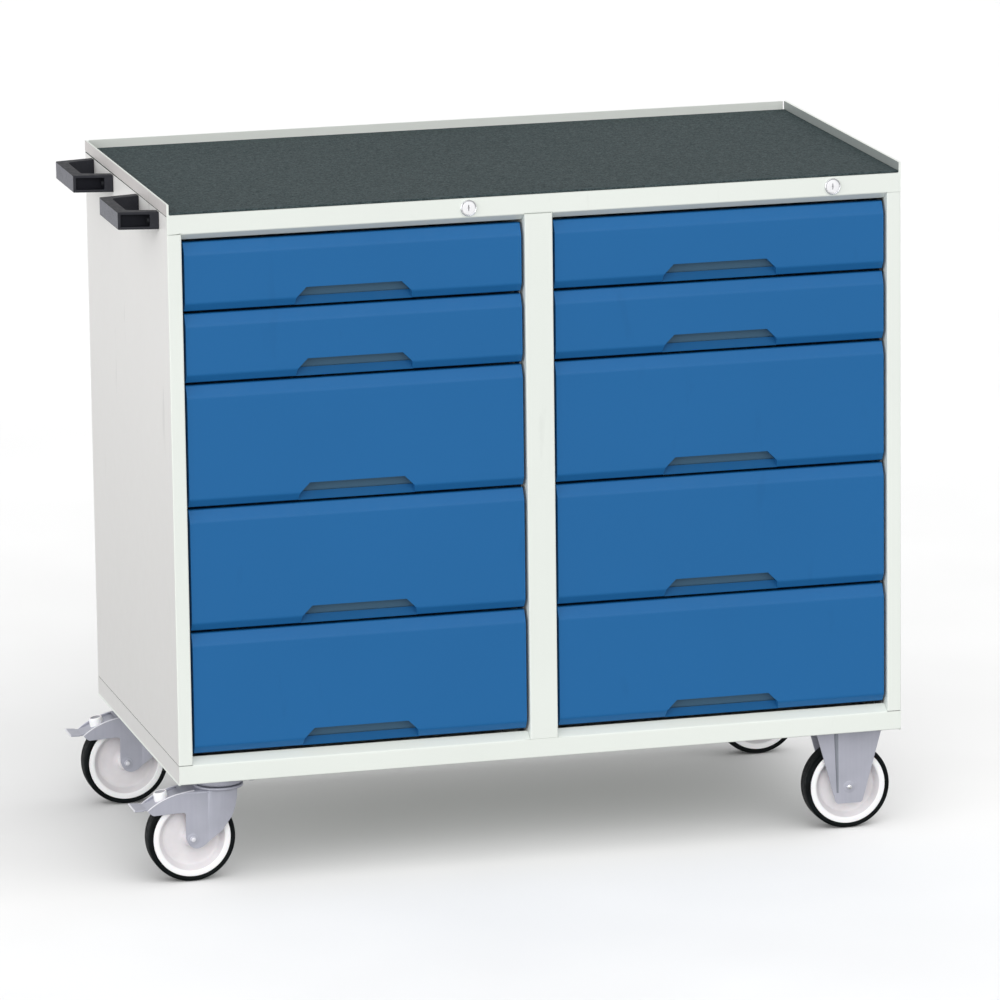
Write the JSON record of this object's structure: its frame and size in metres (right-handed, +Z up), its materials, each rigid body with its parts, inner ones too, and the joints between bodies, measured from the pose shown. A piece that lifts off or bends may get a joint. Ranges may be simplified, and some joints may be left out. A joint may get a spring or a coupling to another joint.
{
  "type": "mobile drawer cabinet",
  "caption": "Steel workbench cabinet on castors: two columns of lockable drawers, matted tray top with raised lips, and push handles on one side.",
  "frame": {"origin": "on the floor, below the centre of the whole object's bounding box", "axes": "+X along the cabinet's length, away from the push handles; +Y to the back; +Z up"},
  "size_m": [1.1074, 0.5528, 0.968],
  "materials": {
    "frame_paint": "light grey-white powder coat, semi-gloss",
    "drawer_paint": "blue powder coat, semi-gloss",
    "drawer_box_paint": "light grey powder coat",
    "mat_rubber": "fine ribbed rubber sheet, matt",
    "handle_plastic": "fine textured glass-filled nylon",
    "zinc_plate": "bright zinc plated pressed steel",
    "runner_steel": "galvanised steel",
    "lock_chrome": "nickel-chrome plated",
    "tyre": "black rubber",
    "wheel_nylon": "moulded white nylon"
  },
  "bodies": {
    "cabinet": {"base_tray": "frame_paint", "side_panel_left": "frame_paint", "side_panel_right": "frame_paint", "centre_partition": "frame_paint", "back_panel": "frame_paint", "top_panel": "frame_paint", "top_tray": "frame_paint", "top_mat": "mat_rubber", "push_handle_front": "handle_plastic", "push_handle_rear": "handle_plastic", "lock_housing_left": "lock_chrome", "lock_housing_right": "lock_chrome", "runner_rack_left_outer": "runner_steel", "runner_rack_left_inner": "runner_steel", "runner_rack_right_inner": "runner_steel", "runner_rack_right_outer": "runner_steel", "castor_plate_left_front": "zinc_plate", "castor_fork_right_front": "zinc_plate", "castor_axle_right_front": "zinc_plate", "castor_plate_left_rear": "zinc_plate", "castor_fork_right_rear": "zinc_plate", "castor_axle_right_rear": "zinc_plate"},
    "drawer_left_1": {"drawer_front_left_1": "drawer_paint", "drawer_box_left_1": "drawer_box_paint"},
    "drawer_left_2": {"drawer_front_left_2": "drawer_paint", "drawer_box_left_2": "drawer_box_paint"},
    "drawer_left_3": {"drawer_front_left_3": "drawer_paint", "drawer_box_left_3": "drawer_box_paint"},
    "drawer_left_4": {"drawer_front_left_4": "drawer_paint", "drawer_box_left_4": "drawer_box_paint"},
    "drawer_left_5": {"drawer_front_left_5": "drawer_paint", "drawer_box_left_5": "drawer_box_paint"},
    "lock_plug_left": {"lock_plug_left": "lock_chrome"},
    "lock_bar_left": {"lock_bar_left": "runner_steel"},
    "drawer_right_1": {"drawer_front_right_1": "drawer_paint", "drawer_box_right_1": "drawer_box_paint"},
    "drawer_right_2": {"drawer_front_right_2": "drawer_paint", "drawer_box_right_2": "drawer_box_paint"},
    "drawer_right_3": {"drawer_front_right_3": "drawer_paint", "drawer_box_right_3": "drawer_box_paint"},
    "drawer_right_4": {"drawer_front_right_4": "drawer_paint", "drawer_box_right_4": "drawer_box_paint"},
    "drawer_right_5": {"drawer_front_right_5": "drawer_paint", "drawer_box_right_5": "drawer_box_paint"},
    "lock_plug_right": {"lock_plug_right": "lock_chrome"},
    "lock_bar_right": {"lock_bar_right": "runner_steel"},
    "castor_swivel_left_front": {"castor_fork_left_front": "zinc_plate", "castor_axle_left_front": "zinc_plate"},
    "castor_wheel_left_front": {"castor_wheel_left_front": "wheel_nylon", "castor_tyre_left_front": "tyre"},
    "brake_left_front": {"brake_pedal_left_front": "zinc_plate"},
    "castor_wheel_right_front": {"castor_wheel_right_front": "wheel_nylon", "castor_tyre_right_front": "tyre"},
    "castor_swivel_left_rear": {"castor_fork_left_rear": "zinc_plate", "castor_axle_left_rear": "zinc_plate"},
    "castor_wheel_left_rear": {"castor_wheel_left_rear": "wheel_nylon", "castor_tyre_left_rear": "tyre"},
    "brake_left_rear": {"brake_pedal_left_rear": "zinc_plate"},
    "castor_wheel_right_rear": {"castor_wheel_right_rear": "wheel_nylon", "castor_tyre_right_rear": "tyre"}
  },
  "joints": [
    {"name": "drawer_left_1_slide", "type": "slide", "parent": "cabinet", "child": "drawer_left_1", "axis": [0, -1, 0], "range_m": [0, 0.36]},
    {"name": "drawer_left_2_slide", "type": "slide", "parent": "cabinet", "child": "drawer_left_2", "axis": [0, -1, 0], "range_m": [0, 0.36]},
    {"name": "drawer_left_3_slide", "type": "slide", "parent": "cabinet", "child": "drawer_left_3", "axis": [0, -1, 0], "range_m": [0, 0.36]},
    {"name": "drawer_left_4_slide", "type": "slide", "parent": "cabinet", "child": "drawer_left_4", "axis": [0, -1, 0], "range_m": [0, 0.36]},
    {"name": "drawer_left_5_slide", "type": "slide", "parent": "cabinet", "child": "drawer_left_5", "axis": [0, -1, 0], "range_m": [0, 0.36]},
    {"name": "lock_plug_left_turn", "type": "hinge", "parent": "cabinet", "child": "lock_plug_left", "pos_m": [-0.07125, -0.2736, 0.9395], "axis": [0, 1, 0], "range_deg": [0, 90]},
    {"name": "lock_bar_left_drop", "type": "slide", "parent": "cabinet", "child": "lock_bar_left", "axis": [0, 0, -1], "range_m": [0, 0.008]},
    {"name": "drawer_right_1_slide", "type": "slide", "parent": "cabinet", "child": "drawer_right_1", "axis": [0, -1, 0], "range_m": [0, 0.36]},
    {"name": "drawer_right_2_slide", "type": "slide", "parent": "cabinet", "child": "drawer_right_2", "axis": [0, -1, 0], "range_m": [0, 0.36]},
    {"name": "drawer_right_3_slide", "type": "slide", "parent": "cabinet", "child": "drawer_right_3", "axis": [0, -1, 0], "range_m": [0, 0.36]},
    {"name": "drawer_right_4_slide", "type": "slide", "parent": "cabinet", "child": "drawer_right_4", "axis": [0, -1, 0], "range_m": [0, 0.36]},
    {"name": "drawer_right_5_slide", "type": "slide", "parent": "cabinet", "child": "drawer_right_5", "axis": [0, -1, 0], "range_m": [0, 0.36]},
    {"name": "lock_plug_right_turn", "type": "hinge", "parent": "cabinet", "child": "lock_plug_right", "pos_m": [0.45375, -0.2736, 0.9395], "axis": [0, 1, 0], "range_deg": [0, 90]},
    {"name": "lock_bar_right_drop", "type": "slide", "parent": "cabinet", "child": "lock_bar_right", "axis": [0, 0, -1], "range_m": [0, 0.008]},
    {"name": "castor_swivel_left_front_turn", "type": "hinge", "parent": "cabinet", "child": "castor_swivel_left_front", "pos_m": [-0.42925, -0.2196, 0.14], "axis": [0, 0, 1], "continuous": true},
    {"name": "castor_wheel_left_front_spin", "type": "hinge", "parent": "castor_swivel_left_front", "child": "castor_wheel_left_front", "pos_m": [-0.47125, -0.2196, 0.0625], "axis": [0, 1, 0], "continuous": true},
    {"name": "brake_left_front_press", "type": "hinge", "parent": "castor_swivel_left_front", "child": "brake_left_front", "pos_m": [-0.47525, -0.2196, 0.1293], "axis": [0, -1, 0], "range_deg": [0, 6]},
    {"name": "castor_wheel_right_front_spin", "type": "hinge", "parent": "cabinet", "child": "castor_wheel_right_front", "pos_m": [0.48675, -0.2196, 0.0625], "axis": [0, 1, 0], "continuous": true},
    {"name": "castor_swivel_left_rear_turn", "type": "hinge", "parent": "cabinet", "child": "castor_swivel_left_rear", "pos_m": [-0.42925, 0.2224, 0.14], "axis": [0, 0, 1], "continuous": true},
    {"name": "castor_wheel_left_rear_spin", "type": "hinge", "parent": "castor_swivel_left_rear", "child": "castor_wheel_left_rear", "pos_m": [-0.47125, 0.2224, 0.0625], "axis": [0, 1, 0], "continuous": true},
    {"name": "brake_left_rear_press", "type": "hinge", "parent": "castor_swivel_left_rear", "child": "brake_left_rear", "pos_m": [-0.47525, 0.2224, 0.1293], "axis": [0, -1, 0], "range_deg": [0, 6]},
    {"name": "castor_wheel_right_rear_spin", "type": "hinge", "parent": "cabinet", "child": "castor_wheel_right_rear", "pos_m": [0.48675, 0.2224, 0.0625], "axis": [0, 1, 0], "continuous": true}
  ],
  "couplings": [
    {"joint": "lock_plug_left_turn", "follows": "lock_bar_left_drop", "rad_per_m": 196.3},
    {"joint": "lock_plug_right_turn", "follows": "lock_bar_right_drop", "rad_per_m": 196.3}
  ]
}
